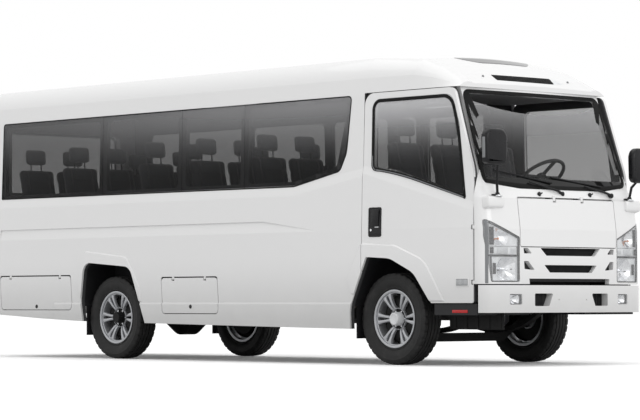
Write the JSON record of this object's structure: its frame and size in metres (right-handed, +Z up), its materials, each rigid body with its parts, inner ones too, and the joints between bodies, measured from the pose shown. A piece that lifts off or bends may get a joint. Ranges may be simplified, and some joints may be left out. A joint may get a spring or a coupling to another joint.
{
  "type": "minibus",
  "caption": "Coach-built minibus on a light truck chassis, forward-control cab, hinged doors, side lockers, front service lid and boot lid, steered front wheels.",
  "frame": {"origin": "on the floor under the middle of the vehicle's box", "axes": "+X forward, +Y to the vehicle's left, +Z up"},
  "size_m": [6.22, 1.824, 2.36],
  "materials": {
    "body_paint": "gloss white",
    "chassis_paint": "satin black",
    "exhaust_steel": "dull",
    "tinted_glass": "dark tint",
    "black_plastic": "moulded black",
    "lamp_lens": "clear lens",
    "lamp_red": "red lens",
    "floor_covering": "ribbed mat",
    "seat_cloth": "woven",
    "dash_plastic": "grained",
    "rim_alloy": "satin grey",
    "tyre_rubber": "treaded"
  },
  "bodies": {
    "body": {"chassis_frame": "chassis_paint", "tow_eyes": "chassis_paint", "floor": "floor_covering", "arch_liners": "black_plastic", "engine_block": "chassis_paint", "fuel_tank": "chassis_paint", "exhaust": "exhaust_steel", "body_side_left": "body_paint", "body_side_right": "body_paint", "body_glass": "tinted_glass", "roof_panel": "body_paint", "roof_front_cap": "body_paint", "rear_wall": "body_paint", "tail_lamps": "lamp_red", "cab_front": "body_paint", "grille": "body_paint", "grille_backing": "black_plastic", "windscreen": "tinted_glass", "front_bumper": "body_paint", "rear_bumper": "body_paint", "front_lamps": "lamp_lens", "mirrors": "black_plastic", "wipers": "black_plastic", "door_steps": "black_plastic", "seats": "seat_cloth", "dashboard": "dash_plastic", "steering_wheel": "dash_plastic", "front_axle": "chassis_paint", "rear_axle": "chassis_paint", "leaf_springs": "chassis_paint", "propeller_shaft": "chassis_paint"},
    "door_front_right": {"door_front_right": "body_paint", "door_glass_right": "tinted_glass"},
    "door_front_left": {"door_front_left": "body_paint", "door_glass_left": "tinted_glass"},
    "entry_door": {"entry_door": "body_paint", "entry_door_glass": "tinted_glass"},
    "hatch_rear_right": {"hatch_rear_right": "body_paint"},
    "hatch_mid_right": {"hatch_mid_right": "body_paint"},
    "hatch_rear_left": {"hatch_rear_left": "body_paint"},
    "front_lid": {"front_lid": "body_paint"},
    "boot_lid": {"boot_lid": "body_paint"},
    "knuckle_right": {"knuckle_right": "chassis_paint"},
    "knuckle_left": {"knuckle_left": "chassis_paint"},
    "wheel_front_right": {"rim_front_right": "rim_alloy", "tyre_front_right": "tyre_rubber"},
    "wheel_front_left": {"rim_front_left": "rim_alloy", "tyre_front_left": "tyre_rubber"},
    "wheel_rear_right": {"rim_rear_right": "rim_alloy", "tyre_rear_right": "tyre_rubber"},
    "wheel_rear_left": {"rim_rear_left": "rim_alloy", "tyre_rear_left": "tyre_rubber"}
  },
  "joints": [
    {"name": "steer_left", "type": "hinge", "parent": "body", "child": "knuckle_left", "pos_m": [2.01, 0.655, 0.345], "axis": [0, 0, 1], "range_deg": [-36, 36]},
    {"name": "steer_right", "type": "hinge", "parent": "body", "child": "knuckle_right", "pos_m": [2.01, -0.655, 0.345], "axis": [0, 0, 1], "range_deg": [-36, 36]},
    {"name": "spin_front_right", "type": "hinge", "parent": "knuckle_right", "child": "wheel_front_right", "pos_m": [2.01, -0.695, 0.345], "axis": [0, 1, 0], "continuous": true},
    {"name": "spin_rear_right", "type": "hinge", "parent": "body", "child": "wheel_rear_right", "pos_m": [-1.34, -0.695, 0.345], "axis": [0, 1, 0], "continuous": true},
    {"name": "spin_front_left", "type": "hinge", "parent": "knuckle_left", "child": "wheel_front_left", "pos_m": [2.01, 0.695, 0.345], "axis": [0, 1, 0], "continuous": true},
    {"name": "spin_rear_left", "type": "hinge", "parent": "body", "child": "wheel_rear_left", "pos_m": [-1.34, 0.695, 0.345], "axis": [0, 1, 0], "continuous": true},
    {"name": "door_front_right_hinge", "type": "hinge", "parent": "body", "child": "door_front_right", "pos_m": [2.917, -0.851, 1], "axis": [0, 0, 1], "range_deg": [0, 68]},
    {"name": "door_front_left_hinge", "type": "hinge", "parent": "body", "child": "door_front_left", "pos_m": [2.917, 0.851, 1], "axis": [0, 0, -1], "range_deg": [0, 68]},
    {"name": "entry_door_hinge", "type": "hinge", "parent": "body", "child": "entry_door", "pos_m": [1.483, 0.851, 1], "axis": [0, 0, -1], "range_deg": [0, 85]},
    {"name": "hatch_rear_right_hinge", "type": "hinge", "parent": "body", "child": "hatch_rear_right", "pos_m": [-2.355, -0.851, 0.686], "axis": [-1, 0, 0], "range_deg": [0, 75]},
    {"name": "hatch_mid_right_hinge", "type": "hinge", "parent": "body", "child": "hatch_mid_right", "pos_m": [-0.284, -0.851, 0.661], "axis": [-1, 0, 0], "range_deg": [0, 75]},
    {"name": "hatch_rear_left_hinge", "type": "hinge", "parent": "body", "child": "hatch_rear_left", "pos_m": [-2.355, 0.851, 0.686], "axis": [1, 0, 0], "range_deg": [0, 75]},
    {"name": "front_lid_hinge", "type": "hinge", "parent": "body", "child": "front_lid", "pos_m": [3.056, 0, 1.217], "axis": [0, -1, 0], "range_deg": [0, 70]},
    {"name": "boot_lid_hinge", "type": "hinge", "parent": "body", "child": "boot_lid", "pos_m": [-3.089, 0, 1.323], "axis": [0, 1, 0], "range_deg": [0, 80]}
  ],
  "couplings": [
    {"joint": "steer_right", "follows": "steer_left", "ratio": 1}
  ]
}
